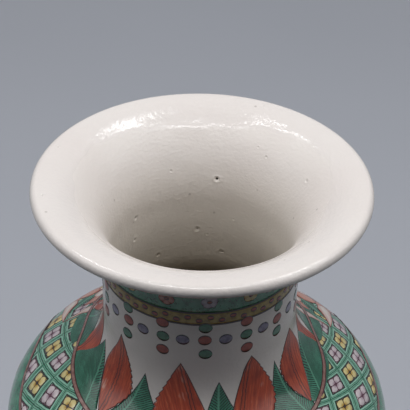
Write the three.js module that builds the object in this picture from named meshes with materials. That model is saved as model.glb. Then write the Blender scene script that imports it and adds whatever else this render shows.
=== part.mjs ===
// A porcelain vase of the Chinese club shape, built from five thrown sections.
// Each section butts on the next through a thin layer of slip, as a potter lutes them.
// Millimetres, +Z up, the resting face of the foot ring at z = 0 and the axis on Z.
import * as THREE from "three";

// Driving dimensions of the mouth and neck
const height = 455;
const mouthRadius = 75; // to the outside of the lip
const lipRoll = 3; // radius of the rounded lip
const throatRadius = 40.4; // inside of the straight neck
const flareDrop = 37; // from the crown of the lip down to the straight throat
const neckWall = 4;
const neckLength = 68.4; // from the crown of the lip down to the shoulder section

// Driving dimensions of the shoulder and body
const hollowRadius = 29.7; // the hollow curve between neck and shoulder
const shoulderFlat = 13; // the straight slope between the hollow and the round
const shoulderRound = 42.2; // the round of the shoulder into the body
const bodyRadius = 91;
const waistRadius = 83; // of the body where its lower curve begins
const waistHeight = 62;
const bodyWall = 5.5;

// Driving dimensions of the base and foot ring
const footRadius = 66;
const footHeight = 13; // from the resting face up to the lower curve
const footCurveRise = 14; // the curve leaves the foot towards this much above it
const footRingWidth = 8;
const footEdge = 1.2; // bevel on both edges of the resting face
const recessHeight = 9;
const floorThickness = 8;
const floorCorner = 5; // inside corner between floor and wall

// Driving dimensions of the slip seams
const slipThickness = 1.2;
const beadDepth = 1.6; // the squeezed-out slip stands this far inside the wall
const beadHeight = 5.2;
const beadGap = 0.35; // the bead's clearance from the wall above and below the seam

// How finely round forms are divided
const facets = 60;
const lipSteps = 6;
const flareSteps = 9;
const hollowSteps = 5;
const roundSteps = 7;
const footCurveSteps = 5;
const beadSteps = 4;

// Places that follow from the dimensions
const neckRadius = throatRadius + neckWall;
const neckJoint = height - neckLength;
const crownRadius = mouthRadius - lipRoll;
const floorHeight = recessHeight + floorThickness;

// The slope of the shoulder's flat, from upright, is the one at which its two arcs and the flat
// lead from the neck's radius exactly to the body's.
const arcs = hollowRadius + shoulderRound;
const shoulderWidth = bodyRadius - neckRadius;
const shoulderSlope =
  Math.acos((arcs - shoulderWidth) / Math.hypot(arcs, shoulderFlat)) -
  Math.atan2(shoulderFlat, arcs);
const shoulderDrop = arcs * Math.sin(shoulderSlope) + shoulderFlat * Math.cos(shoulderSlope);
const bodyJoint = neckJoint - shoulderDrop;
const middleJoint = (waistHeight + bodyJoint) / 2; // the two body sections are equally tall
const bodyLean = Math.atan((bodyRadius - waistRadius) / (bodyJoint - waistHeight));

const mix = (a, b, share) => a + (b - a) * share;
const point = (r, z) => new THREE.Vector2(r, z);

// Numbers 0 to 1 in equal steps, both ends included
const shares = (steps) => Array.from({ length: steps + 1 }, (_, i) => i / steps);

// A station is a point of the outside wall with its outward direction and the wall's thickness.
function station(r, z, angle, wall) {
  return { r, z, outR: Math.cos(angle), outZ: Math.sin(angle), wall };
}

const outside = (s) => point(s.r, s.z);
const inside = (s) => point(s.r - s.outR * s.wall, s.z - s.outZ * s.wall);

// Turns a closed outline of radius and height about the Z axis.
function turned(outline) {
  const geometry = new THREE.LatheGeometry([...outline, outline[0]], facets);
  geometry.rotateX(Math.PI / 2);
  return geometry;
}

// The outline of a section: up its outside from the first station to the last, then down its
// inside. Both ends are flat faces at the heights given.
function sectionOutline(stations, bottom, top) {
  const outer = stations.map(outside);
  const inner = stations.map(inside);
  for (const wall of [outer, inner]) {
    wall[0].y = bottom;
    wall[wall.length - 1].y = top;
  }
  return [...outer, ...inner.reverse()];
}

// The mouth: a lip rolled over a wide flare, which runs down into the straight neck.
// The flare's inside is a quarter of an ellipse, and its wall thickens towards the lip.
function mouthAndNeck() {
  const bottom = neckJoint + slipThickness / 2;
  const flareWidth = crownRadius - throatRadius;
  const flareInside = [];
  const flareOutside = [];
  for (const share of shares(flareSteps)) {
    const a = (share * Math.PI) / 2;
    const r = crownRadius - flareWidth * Math.sin(a);
    const z = height - flareDrop * (1 - Math.cos(a));
    const outward = point(flareDrop * Math.sin(a), -flareWidth * Math.cos(a)).normalize();
    const wall = mix(2 * lipRoll, neckWall, Math.sin(a));
    flareInside.push(point(r, z));
    flareOutside.push(point(r, z).addScaledVector(outward, wall));
  }
  const lip = shares(lipSteps)
    .slice(1, -1)
    .map((share) => {
      const a = (share - 0.5) * Math.PI;
      const z = height - lipRoll + lipRoll * Math.sin(a);
      return point(crownRadius + lipRoll * Math.cos(a), z);
    });
  return turned([
    point(neckRadius, bottom),
    ...flareOutside.reverse(),
    ...lip,
    ...flareInside,
    point(throatRadius, bottom),
  ]);
}

// The shoulder: a hollow curve out of the neck, a short flat slope and a round into the body.
function shoulder() {
  const hollow = shares(hollowSteps).map((share) => {
    const a = share * shoulderSlope;
    const r = neckRadius + hollowRadius * (1 - Math.cos(a));
    return station(r, neckJoint - hollowRadius * Math.sin(a), a, mix(neckWall, bodyWall, share));
  });
  const round = shares(roundSteps).map((share) => {
    const a = mix(shoulderSlope, 0, share);
    const r = bodyRadius - shoulderRound * (1 - Math.cos(a));
    return station(r, bodyJoint + shoulderRound * Math.sin(a), a, bodyWall);
  });
  const bottom = bodyJoint + slipThickness / 2;
  const top = neckJoint - slipThickness / 2;
  return turned(sectionOutline([...hollow, ...round].reverse(), bottom, top));
}

// The body tapers evenly from the shoulder down to the waist.
function bodyStation(z) {
  const share = (z - waistHeight) / (bodyJoint - waistHeight);
  return station(mix(waistRadius, bodyRadius, share), z, -bodyLean, bodyWall);
}

function bodySection(lowerJoint, upperJoint) {
  const bottom = lowerJoint + slipThickness / 2;
  const top = upperJoint - slipThickness / 2;
  return turned(sectionOutline([bodyStation(bottom), bodyStation(top)], bottom, top));
}

// The base: the foot ring, the floor with its recess underneath, and the curve up to the waist.
function base() {
  const top = waistHeight - slipThickness / 2;
  const guideHeight = footHeight + footCurveRise;
  const curve = new THREE.QuadraticBezierCurve(
    point(footRadius, footHeight),
    outside(bodyStation(guideHeight)),
    outside(bodyStation(top)),
  );
  const stations = shares(footCurveSteps).map((share) => {
    const at = curve.getPoint(share);
    const along = curve.getTangent(share);
    return station(at.x, at.y, Math.atan2(-along.x, along.y), bodyWall);
  });
  const wallInside = stations.map(inside).filter((p) => p.y > floorHeight + floorCorner);
  wallInside[wallInside.length - 1].y = top;
  const recessRadius = footRadius - footRingWidth;
  return turned([
    point(0, recessHeight),
    point(recessRadius, recessHeight),
    point(recessRadius, footEdge),
    point(recessRadius + footEdge, 0),
    point(footRadius - footEdge, 0),
    point(footRadius, footEdge),
    ...stations.map(outside),
    ...wallInside.reverse(),
    point(wallInside[wallInside.length - 1].x - floorCorner, floorHeight),
    point(0, floorHeight),
  ]);
}

// A slip seam: the layer between two flat faces, with the bead that squeezed out inside the wall.
function slipSeam(joint, outerRadius, innerRadius) {
  const low = joint - slipThickness / 2;
  const high = joint + slipThickness / 2;
  const back = innerRadius - beadGap;
  const bead = shares(beadSteps).map((share) => {
    const a = share * Math.PI;
    return point(back - (beadDepth - beadGap) * Math.sin(a), joint + (beadHeight / 2) * Math.cos(a));
  });
  return turned([
    point(outerRadius, low),
    point(outerRadius, high),
    point(back, high),
    ...bead,
    point(back, low),
  ]);
}

function bodySeam(joint) {
  const outerRadius = bodyStation(joint).r;
  return slipSeam(joint, outerRadius, outerRadius - bodyWall);
}

// Materials: white glazed porcelain outside and in, bare fired slip on the seams
const glaze = new THREE.MeshStandardMaterial({ color: 0xe9e5df, roughness: 0.15 });
const slip = new THREE.MeshStandardMaterial({ color: 0xd8d0c4, roughness: 0.7 });

const vase = new THREE.Group();

function add(name, geometry, material) {
  const mesh = new THREE.Mesh(geometry, material);
  mesh.name = name;
  vase.add(mesh);
}

add("mouth_and_neck", mouthAndNeck(), glaze);
add("shoulder", shoulder(), glaze);
add("upper_body", bodySection(middleJoint, bodyJoint), glaze);
add("lower_body", bodySection(waistHeight, middleJoint), glaze);
add("base_and_foot_ring", base(), glaze);
add("neck_seam", slipSeam(neckJoint, neckRadius, throatRadius), slip);
add("shoulder_seam", bodySeam(bodyJoint), slip);
add("middle_seam", bodySeam(middleJoint), slip);
add("waist_seam", bodySeam(waistHeight), slip);

export default vase;
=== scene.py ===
# %% [markdown]
# A porcelain vase of the Chinese club shape, with a wide flared mouth. It is glazed white and
# painted outside in overglaze enamels. This lesson turns each thrown section as a smooth form
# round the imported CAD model, and then lays the enamels on it one brushstroke at a time.

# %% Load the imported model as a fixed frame
import itertools
import random
from math import acos, atan2, cos, degrees, exp, hypot, pi, radians, sin, sqrt

import bmesh
import bpy
import numpy as np
from mathutils import Matrix, Vector


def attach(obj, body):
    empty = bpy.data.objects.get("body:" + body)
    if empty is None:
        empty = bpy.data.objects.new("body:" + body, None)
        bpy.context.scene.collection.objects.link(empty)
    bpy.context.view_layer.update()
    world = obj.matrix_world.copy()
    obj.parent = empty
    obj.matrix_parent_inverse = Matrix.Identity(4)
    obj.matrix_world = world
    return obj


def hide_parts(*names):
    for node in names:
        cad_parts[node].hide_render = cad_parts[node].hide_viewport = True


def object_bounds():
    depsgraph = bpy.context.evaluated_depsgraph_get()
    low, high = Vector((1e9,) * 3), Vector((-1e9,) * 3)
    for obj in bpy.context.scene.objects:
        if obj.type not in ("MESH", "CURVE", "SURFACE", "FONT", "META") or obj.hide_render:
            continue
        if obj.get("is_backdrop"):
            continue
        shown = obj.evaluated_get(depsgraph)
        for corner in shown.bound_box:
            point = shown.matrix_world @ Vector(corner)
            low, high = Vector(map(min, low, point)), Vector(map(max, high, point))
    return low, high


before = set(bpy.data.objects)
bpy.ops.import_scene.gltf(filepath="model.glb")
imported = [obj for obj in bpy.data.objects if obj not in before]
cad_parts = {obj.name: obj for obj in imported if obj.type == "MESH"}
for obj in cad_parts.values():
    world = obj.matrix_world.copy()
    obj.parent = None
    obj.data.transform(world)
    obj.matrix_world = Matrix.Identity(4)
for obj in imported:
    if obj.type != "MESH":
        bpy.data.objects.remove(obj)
cad_low, cad_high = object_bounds()
scene = bpy.context.scene
print("packed nodes:", len(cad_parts))
print("CAD box in metres:", list(cad_low), list(cad_high))

# %% [markdown]
# The sizes are those of the CAD part, in millimetres. One profile of the outside wall serves
# every piece: the sections are turned from it and each brushstroke finds its place on it.

# %% Sizes of the vase in millimetres
mm = 0.001
height = 455
mouth_radius = 75
lip_roll = 3
throat_radius = 40.4
flare_drop = 37
neck_wall = 4
neck_length = 68.4
hollow_radius = 29.7
shoulder_flat = 13
shoulder_round = 42.2
body_radius = 91
waist_radius = 83
waist_height = 62
body_wall = 5.5
foot_radius = 66
foot_height = 13
foot_curve_rise = 14
foot_ring_width = 8
foot_edge = 1.2
recess_height = 9
floor_thickness = 8
slip_thickness = 1.2
bead_depth = 1.6
bead_height = 5.2
bead_gap = 0.35

neck_radius = throat_radius + neck_wall
crown_radius = mouth_radius - lip_roll
neck_joint = height - neck_length
arcs = hollow_radius + shoulder_round
shoulder_width = body_radius - neck_radius
shoulder_slope = acos((arcs - shoulder_width) / hypot(arcs, shoulder_flat))
shoulder_slope -= atan2(shoulder_flat, arcs)
shoulder_drop = arcs * sin(shoulder_slope) + shoulder_flat * cos(shoulder_slope)
body_joint = neck_joint - shoulder_drop
middle_joint = (waist_height + body_joint) / 2
floor_height = recess_height + floor_thickness
print("joints at", round(neck_joint, 1), round(body_joint, 1), round(middle_joint, 1))


# %% The outside wall from the lip down to the foot
def shares(steps):
    return [i / steps for i in range(steps + 1)]


def flare_point(share, depth=1.0):
    """A point of the mouth's flare, 0 at the lip and 1 at the neck. Depth 0 is its inside."""
    a = share * pi / 2
    width = crown_radius - throat_radius
    r = crown_radius - width * sin(a)
    z = height - flare_drop * (1 - cos(a))
    out = Vector((flare_drop * sin(a), -width * cos(a))).normalized()
    wall = 2 * lip_roll + (neck_wall - 2 * lip_roll) * sin(a)
    return (r + out.x * wall * depth, z + out.y * wall * depth)


def taper_radius(z):
    share = (z - waist_height) / (body_joint - waist_height)
    return waist_radius + (body_radius - waist_radius) * share


points = [flare_point(share) for share in shares(40)]
for share in shares(24):
    a = share * shoulder_slope
    r = neck_radius + hollow_radius * (1 - cos(a))
    points.append((r, neck_joint - hollow_radius * sin(a)))
for share in shares(30):
    a = (1 - share) * shoulder_slope
    r = body_radius - shoulder_round * (1 - cos(a))
    points.append((r, body_joint + shoulder_round * sin(a)))
body_rows = np.linspace(body_joint, waist_height, 60).tolist()
points += [(taper_radius(z), z) for z in body_rows[1:]]
guide_z = foot_height + foot_curve_rise
guide = (taper_radius(guide_z), guide_z)
corners = ((waist_radius, waist_height), guide, (foot_radius, foot_height))
for share in shares(30)[1:]:  # the lower curve bends towards its middle corner
    weights = ((1 - share) ** 2, 2 * share * (1 - share), share**2)
    points.append([sum(w * p[axis] for w, p in zip(weights, corners)) for axis in (0, 1)])
outside_line = np.array([*points, (foot_radius, foot_edge)])
steps_down = np.hypot(*np.diff(outside_line, axis=0).T)
way = np.concatenate(([0], np.cumsum(steps_down)))
way -= np.interp(-neck_joint, -outside_line[:, 1], way)
print("the wall's outline is", round(float(way[-1] - way[0])), "mm long")

# %% Directions and places on the wall
tangents = np.gradient(outside_line, way, axis=0)
tangents /= np.hypot(tangents[:, 0], tangents[:, 1])[:, None]
wall_table = {
    "r": outside_line[:, 0],
    "z": outside_line[:, 1],
    "out_r": -tangents[:, 1],
    "out_z": tangents[:, 0],
}
turn_table = np.concatenate(
    ([0], np.cumsum(steps_down / (outside_line[1:, 0] + outside_line[:-1, 0]) * 2))
)
turn_table -= np.interp(0, way, turn_table)
enamel_relief = 0.25  # the glaze lies this far inside the CAD wall, so the enamel reaches it


def on_wall(s, what):
    """Radius, height or outward direction of the wall, s mm down from the neck joint."""
    return np.interp(s, way, wall_table[what])


def wall_point(s, depth):
    r = on_wall(s, "r") - on_wall(s, "out_r") * depth
    return (r, on_wall(s, "z") - on_wall(s, "out_z") * depth)


def way_of(z):
    return float(np.interp(-z, -outside_line[:, 1], way))


body_way = way_of(body_joint)
print("shoulder from 0 to", round(body_way, 1), "mm down the wall")

# %% [markdown]
# One function adds a node to a material, with its settings and links. Colours are written
# as they look on a screen, and one function turns them into Blender's linear numbers.


# %% Colours and nodes
def linear(code):
    """An sRGB hex colour as linear red, green, blue and alpha."""
    parts = [int(code[i : i + 2], 16) / 255 for i in (1, 3, 5)]
    return [c / 12.92 if c <= 0.04045 else ((c + 0.055) / 1.055) ** 2.4 for c in parts] + [1]


def new_material(name):
    print("material", name)
    made = bpy.data.materials.new(name)
    made.use_nodes = True
    made.node_tree.nodes.clear()
    return made, made.node_tree


def add(kind, inputs=None, tree=None, **settings):
    """Adds a node to a tree given, or else to that of the sockets and nodes it links from.

    The other inputs are numbers, or colours as hex.
    """
    inputs = inputs or {}
    linked = (bpy.types.Node, bpy.types.NodeSocket)
    if tree is None:
        tree = next(value.id_data for value in inputs.values() if isinstance(value, linked))
    made = tree.nodes.new("ShaderNode" + kind)
    for name, value in settings.items():
        setattr(made, name, value)
    for key, value in inputs.items():
        if isinstance(value, bpy.types.Node):
            value = value.outputs[0]
        if isinstance(value, bpy.types.NodeSocket):
            tree.links.new(value, made.inputs[key])
        else:
            made.inputs[key].default_value = linear(value) if isinstance(value, str) else value
    return made


def ramp(value, stops):
    """Smooth colours by a value from 0 to 1. Stops are (from where, hex colour)."""
    made = add("ValToRGB", {0: value})
    knots = made.color_ramp.elements
    while len(knots) < len(stops):
        knots.new(1)
    for knot, (where, code) in zip(knots, stops):
        knot.position = where
        knot.color = linear(code)
    return made.outputs[0]


def mixed(share, first, second):
    """One colour going over into another by a share from 0 to 1."""
    return add("Mix", {0: share, 6: first, 7: second}, data_type="RGBA").outputs[2]


def faded(value, start, end, low=0.0, high=1.0):
    """A value's stretch from start to end, mapped to low and high and held beyond."""
    return add("MapRange", {0: value, 1: start, 2: end, 3: low, 4: high}).outputs[0]


def noise(place, scale, detail=2):
    return add("TexNoise", {"Vector": place, "Scale": scale, "Detail": detail}).outputs[0]


def maths(operation, *values):
    return add("Math", dict(enumerate(values)), operation=operation).outputs[0]


def either(*masks):
    """The highest of several masks."""
    highest = masks[0]
    for mask in masks[1:]:
        highest = maths("MAXIMUM", highest, mask)
    return highest


def bump(height, strength, distance, below=None):
    """A bump by a pattern's height in metres, over another bump if one is given."""
    inputs = {"Height": height, "Strength": strength, "Distance": distance}
    if below:
        inputs["Normal"] = below
    return add("Bump", inputs)


# %% [markdown]
# The glaze is clear and glassy over white clay. A second coat ends in a wavy line inside the
# mouth. Below it the glaze is thin and a little dull, and shows the grain of the clay. Deeper
# down, warm light thrown back inside and shade are painted onto it. Here and there a bubble
# broke and left a pinhole, with painted shade in it.

# %% Glazed porcelain, dipped and fired at white heat: clean gloss, faint orange peel, painted shade inside
lit_flare = (height - 15) * mm  # down to here the dull glaze inside is painted only faintly warm, as light thrown back inside
open_throat = (height - 47) * mm  # from here down painted shade darkens the throat towards brown
deep_throat = (height - 94) * mm
porcelain, tree = new_material("glazed_porcelain")
place = add("TexCoord", tree=tree).outputs["Object"]
# Where the glaze is dull, inside the vase; the painted warm light and shade go only there.
dull_and_shaded = add("Attribute", tree=tree, attribute_name="dull_and_shaded").outputs["Fac"]
pit_shade = add("Attribute", tree=tree, attribute_name="pit_shade").outputs["Fac"]
cloud = noise(place, 28, 3)
colour = mixed(cloud, "#efe9e4", "#e9e0db")
depth = add("SeparateXYZ", {0: place}).outputs[2]
# Painted light: the dull glaze grows warmer down the flare, for light thrown back inside the vase.
painted_warm_bounce = maths("MULTIPLY", dull_and_shaded, faded(depth, open_throat, lit_flare, 0.35, 0.05))
colour = mixed(painted_warm_bounce, colour, "#dcd5be")
# Painted shade: the throat darkens towards brown deeper down, and the whole inside of the body
# stays dark.
painted_throat_shade = maths("MULTIPLY", dull_and_shaded, faded(depth, deep_throat, open_throat, 1, 0))
colour = mixed(painted_throat_shade, colour, "#7d6c4f")
specks = add("TexVoronoi", {"Vector": place, "Scale": 75}).outputs["Distance"]
colour = mixed(faded(specks, 0.025, 0.06, 0.4, 0), colour, "#8d8074")
# Painted shade in the pinholes, darker where a pit is deeper.
colour = mixed(faded(pit_shade, 0.15, 0.5), colour, "#2b241d")
thrown = add("Mapping", {0: place, 3: (1, 1, 1.6)}).outputs[0]
grain = bump(noise(thrown, 600, 3), faded(dull_and_shaded, 0, 1, 0.02, 0.45), 0.0003)
peel = bump(noise(place, 560, 3), faded(dull_and_shaded, 0, 1, 0.62, 0.4), 0.0003, grain)
waves = bump(noise(place, 90, 1), 0.2, 0.0015, peel)
rough = faded(cloud, 0, 1, 0.08, 0.14)
rough = maths("MULTIPLY_ADD", dull_and_shaded, 0.28, rough)
inputs = {"Base Color": colour, "Roughness": rough, "IOR": 1.5, "Normal": waves}
add("OutputMaterial", {"Surface": add("BsdfPrincipled", inputs)})
glaze = (porcelain, "glazed_porcelain")  # a coat is a material with the name of its slot

# %% [markdown]
# A potter throws a tall vase in sections and trims them, then sets one on the next with
# slip. Each section here is one outline, spun round the axis.

# %% Spin one outline into a section
turn_steps = 160
sharp_edge = radians(38)
root = "root"


def finish_piece(name, bm, coat, stands_for=None):
    """Turns bm into a finished piece of the vase."""
    material, slot = coat
    mesh = bpy.data.meshes.new(name)
    bm.to_mesh(mesh)
    bm.free()
    mesh.materials.append(material)
    mesh.shade_smooth()
    mesh.set_sharp_from_angle(angle=sharp_edge)
    piece = bpy.data.objects.new(name, mesh)
    scene.collection.objects.link(piece)
    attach(piece, root)
    if stands_for:
        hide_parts(stands_for)
    print(name, len(mesh.polygons), "faces")
    return piece


def turned(name, outline, coat, stands_for=None, closed=True, shape=None):
    """Spins an outline of radius and height. Shape, if given, works on the spun surface."""
    bm = bmesh.new()
    ring = [bm.verts.new((r * mm, 0, z * mm)) for r, z in outline]
    pairs = zip(ring, ring[1:] + ring[:1]) if closed else zip(ring, ring[1:])
    edges = [bm.edges.new(pair) for pair in pairs]
    spin = {"cent": (0, 0, 0), "axis": (0, 0, 1), "angle": 2 * pi, "steps": turn_steps}
    bmesh.ops.spin(bm, geom=ring + edges, use_merge=True, **spin)
    bmesh.ops.remove_doubles(bm, verts=bm.verts, dist=1e-6)
    bmesh.ops.recalc_face_normals(bm, faces=bm.faces)
    if shape:
        shape(bm)
    finish_piece(name, bm, coat, stands_for)


# %% Places on the walls and the ends of the sections
skin_depth = 1.4  # the glaze bridges the outer part of each seam
half_slip = slip_thickness / 2
row_height = 1.0


def wall_thickness(s):
    hollow_way = hollow_radius * shoulder_slope
    share = min(max(s / hollow_way, 0), 1)
    return neck_wall + (body_wall - neck_wall) * share


def wall_points(top_z, bottom_z, depth):
    """Points down the wall in even rows. Depth is a number, or a function of the way."""
    first, last = way_of(top_z), way_of(bottom_z)
    count = max(2, round(abs(last - first) / row_height))
    places = [first + (last - first) * share for share in shares(count)]
    return [wall_point(s, depth(s) if callable(depth) else depth) for s in places]


def seam_step(joint, side):
    """The end of a section at a joint: flush at the glaze, short by half a seam inside."""
    s = way_of(joint)
    r = wall_point(s, skin_depth)[0]
    inner_r = wall_point(s, wall_thickness(s))[0]
    return [(r, joint), (r, joint + side * half_slip), (inner_r, joint + side * half_slip)]


def radius_and_height(v):
    return hypot(v.co.x, v.co.y) / mm, v.co.z / mm


# %% The glaze line and the broken bubbles inside the mouth
ridge_height = 0.25
ridge_width = 1.2
dull_fade = 2.5
broken_bubbles = (  # angle from the front, height, radius of the pit, depth
    ((170.8, 428.4, 0.8, 1.1), (-131.4, 415.5, 0.85, 0.42), (-177.4, 399.9, 0.95, 0.35))
    + ((165.8, 387.5, 0.95, 0.45), (-150, 388.1, 0.8, 0.45), (-130.3, 403.3, 0.65, 0.35))
    + ((111.2, 444.5, 0.6, 0.35), (143.5, 442.8, 0.45, 0.3), (-111.8, 454.9, 0.5, 0.4))
    + ((-80.1, 454.9, 0.5, 0.35), (-160.2, 432.8, 0.5, 0.25), (-98, 436.7, 0.45, 0.25))
    + ((150, 445, 0.4, 0.25), (176, 397, 0.45, 0.25), (158, 408, 0.5, 0.22))
)


def glaze_line(a):
    """Radius of the wavy line, inside the flare, where the second coat of glaze ends."""
    scallops = 0.45 * sin(17 * a) + 0.3 * sin(29 * a + 1)
    return 57.6 + 3.1 * cos(3 * a) - 1.0 * sin(2 * a) + scallops


def inside_radius(z):
    """Radius of the mouth's inside at a height."""
    drop = (height - z) / flare_drop
    if drop >= 1:
        return throat_radius
    return crown_radius - (crown_radius - throat_radius) * sqrt(1 - (1 - drop) ** 2)


def mark_mouth(bm):
    """Raises the glaze to its line, marks the dull part and sinks the broken bubbles."""
    dull_and_shaded = bm.verts.layers.float.new("dull_and_shaded")
    pit_shade = bm.verts.layers.float.new("pit_shade")
    bubbles = []
    for angle, z, pit_radius, depth in broken_bubbles:
        a = radians(angle)
        r = inside_radius(z)
        centre = Vector((r * sin(a), -r * cos(a), z)) * mm
        bubbles.append((centre, pit_radius, depth))
        for reach in (3.2, 2.2, 1.4):
            near = [e for e in bm.edges if (e.verts[0].co - centre).length < reach * mm]
            bmesh.ops.subdivide_edges(bm, edges=near, cuts=1, use_grid_fill=True)
    bm.normal_update()
    for v in bm.verts:
        r, z = radius_and_height(v)
        if not (z > height - lip_roll and r < crown_radius or r < inside_radius(z) + 1):
            continue
        a = atan2(v.co.x, -v.co.y)
        past = r - glaze_line(a)
        v[dull_and_shaded] = min(max(-past / dull_fade, 0), 1)
        bank = ridge_width if past > 0 else dull_fade
        ridge = ridge_height * max(0.08, -cos(a))
        v.co += v.normal * ridge * mm * exp(-((past / bank) ** 2))
    bm.normal_update()
    moves = {}
    for centre, pit_radius, depth in bubbles:
        for v in bm.verts:
            away = (v.co - centre).length / mm / pit_radius
            if away < 4:
                well = depth * exp(-(away**2))
                collar = 0.22 * depth * exp(-((away - 1.9) ** 2) * 2)
                moves[v] = (v.normal * (collar - well) * mm, depth * max(0, 1 - away))
    # Each pit's depth also sets how dark its painted shade is.
    for v, (move, dark) in moves.items():
        v.co += move
        v.co.z = min(v.co.z, height * mm)
        v[pit_shade] = max(v[pit_shade], dark)


# %% The mouth, from its crown down the outside and up again inside
outline = []
for share in shares(20)[1:-1]:
    a = (0.5 - share) * pi
    z = height - lip_roll + lip_roll * sin(a)
    outline.append((crown_radius + lip_roll * cos(a), z))
outline += [flare_point(share, 1 - enamel_relief / neck_wall) for share in shares(48)][1:]
outline += wall_points(height - flare_drop, neck_joint, enamel_relief)[1:]
outline += seam_step(neck_joint, 1)
throat_rows = np.linspace(height - flare_drop, neck_joint, 34)
outline += [(throat_radius, z) for z in throat_rows][-2:0:-1]
outline += [flare_point(share, 0) for share in shares(150)][::-1]
turned("mouth_and_neck_glazed", outline, glaze, "mouth_and_neck", shape=mark_mouth)


# %% The walls of the shoulder and the body
def mark_inside(bm):
    """Inside the vase the glaze is thin and dull all the way down, and takes the painted shade."""
    dull_and_shaded = bm.verts.layers.float.new("dull_and_shaded")
    for v in bm.verts:
        r, z = radius_and_height(v)
        v[dull_and_shaded] = float(r < on_wall(way_of(z), "r") - 2.5 and z > floor_height - 1)


def wall_section(stands_for, top_joint, bottom_joint):
    outer = wall_points(top_joint, bottom_joint, enamel_relief)
    inner = wall_points(top_joint, bottom_joint, wall_thickness)
    outer[0] = (outer[0][0], top_joint)
    outer[-1] = (outer[-1][0], bottom_joint)
    outline = outer + seam_step(bottom_joint, 1) + inner[-2:0:-1]
    outline += seam_step(top_joint, -1)[::-1]
    turned(stands_for + "_glazed", outline, glaze, stands_for, shape=mark_inside)


wall_section("shoulder", neck_joint, body_joint)
wall_section("upper_body", body_joint, middle_joint)
wall_section("lower_body", middle_joint, waist_height)

# %% The base, from the middle of the recess round the outside to the floor
recess_radius = foot_radius - foot_ring_width
glaze_end = 2.6  # the foot is wiped bare this far up
outer = wall_points(waist_height, foot_edge, enamel_relief)
outer[0] = (outer[0][0], waist_height)
inner = wall_points(waist_height, foot_edge, body_wall)
inner = [point for point in inner if point[1] > floor_height + 8]
outline = [
    (0, recess_height),
    (recess_radius / 2, recess_height),
    (recess_radius - 2.5, recess_height),
    (recess_radius - 0.7, recess_height - 0.7),
    (recess_radius, recess_height - 2.5),
    (recess_radius, glaze_end),
    (foot_radius, glaze_end),
]
outline += [point for point in outer if point[1] > glaze_end + 0.2][::-1]
outline += seam_step(waist_height, -1) + inner[1:]
floor_curve = ((69.5, 5.5), (66.5, 2.6), (63, 0.9), (58, 0.2), (30, 0), (0, 0))
outline += [(r, floor_height + rise) for r, rise in floor_curve]
turned("base_glazed", outline, glaze, "base_and_foot_ring", False, mark_inside)

# %% [markdown]
# Between two sections lies the slip that lutes them. What squeezes out inside is left as a
# soft bead, because no hand reaches down there once the vase is closed.

# %% Luting slip, smeared and fired bare: pale and matt with a fine tooth
slip_clay, tree = new_material("fired_slip")
grit = noise(add("TexCoord", tree=tree).outputs["Object"], 700)
tone = mixed(grit, "#d8cfc2", "#c2b5a3")
inputs = {"Base Color": tone, "Roughness": 0.7, "Normal": bump(grit, 0.4, 0.0003)}
add("OutputMaterial", {"Surface": add("BsdfPrincipled", inputs)})
slip = (slip_clay, "luting_slip")
foot_rim = [
    (recess_radius, glaze_end),
    (foot_radius, glaze_end),
    (foot_radius, foot_edge),
    (foot_radius - foot_edge, 0),
    (recess_radius + foot_edge, 0),
    (recess_radius, foot_edge),
]
turned("foot_rim_bare", foot_rim, slip)

# %% Seams: washers of slip with a bead inside, or flush where a hand can wipe it
for name, joint in (
    ("neck_seam", neck_joint),
    ("shoulder_seam", body_joint),
    ("middle_seam", middle_joint),
    ("waist_seam", waist_height),
):
    s = way_of(joint)
    outer_r = wall_point(s, skin_depth)[0]
    inner_r = wall_point(s, wall_thickness(s))[0]
    low, high = joint - half_slip, joint + half_slip
    if name == "neck_seam":
        washer = [(outer_r, low), (outer_r, high), (inner_r, high), (inner_r, low)]
        turned(name + "_slip", washer, (porcelain, "luting_slip"), name, shape=mark_inside)
        continue
    back = inner_r - bead_gap
    outline = [(outer_r, low), (outer_r, high), (back, high)]
    for share in shares(10):
        a = share * pi
        r = back - (bead_depth - bead_gap) * sin(a)
        outline.append((r, joint + bead_height / 2 * cos(a)))
    turned(name + "_slip", outline + [(back, low)], slip, name)

# %% [markdown]
# Everything painted on the wall is a thin patch of enamel, bent onto it as a small grid. A
# patch is placed by two shares, along it and across it. The enamel is highest inside and
# thin at its edge, as it melts. Later colours lie over earlier ones.

# %% Lay one patch of enamel on the wall
enamel_thickness = 0.3
edge_fall = 0.9  # the enamel rises over this much from its edge
ground, under, over, top = 0.03, 0.07, 0.13, 0.18  # how high each layer lies
swell = 0.03


def faces_inward(points, a, s):
    """Whether a grid of points on the wall, at angles a and ways s, faces into it."""
    i, j = points.shape[0] // 2, points.shape[1] // 2
    facing = np.cross(points[i, j] - points[i - 1, j], points[i, j] - points[i, j - 1])
    flat = on_wall(s[i, j], "out_r")
    outward = (flat * np.sin(a[i, j]), -flat * np.cos(a[i, j]), on_wall(s[i, j], "out_z"))
    return facing @ outward < 0


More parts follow.
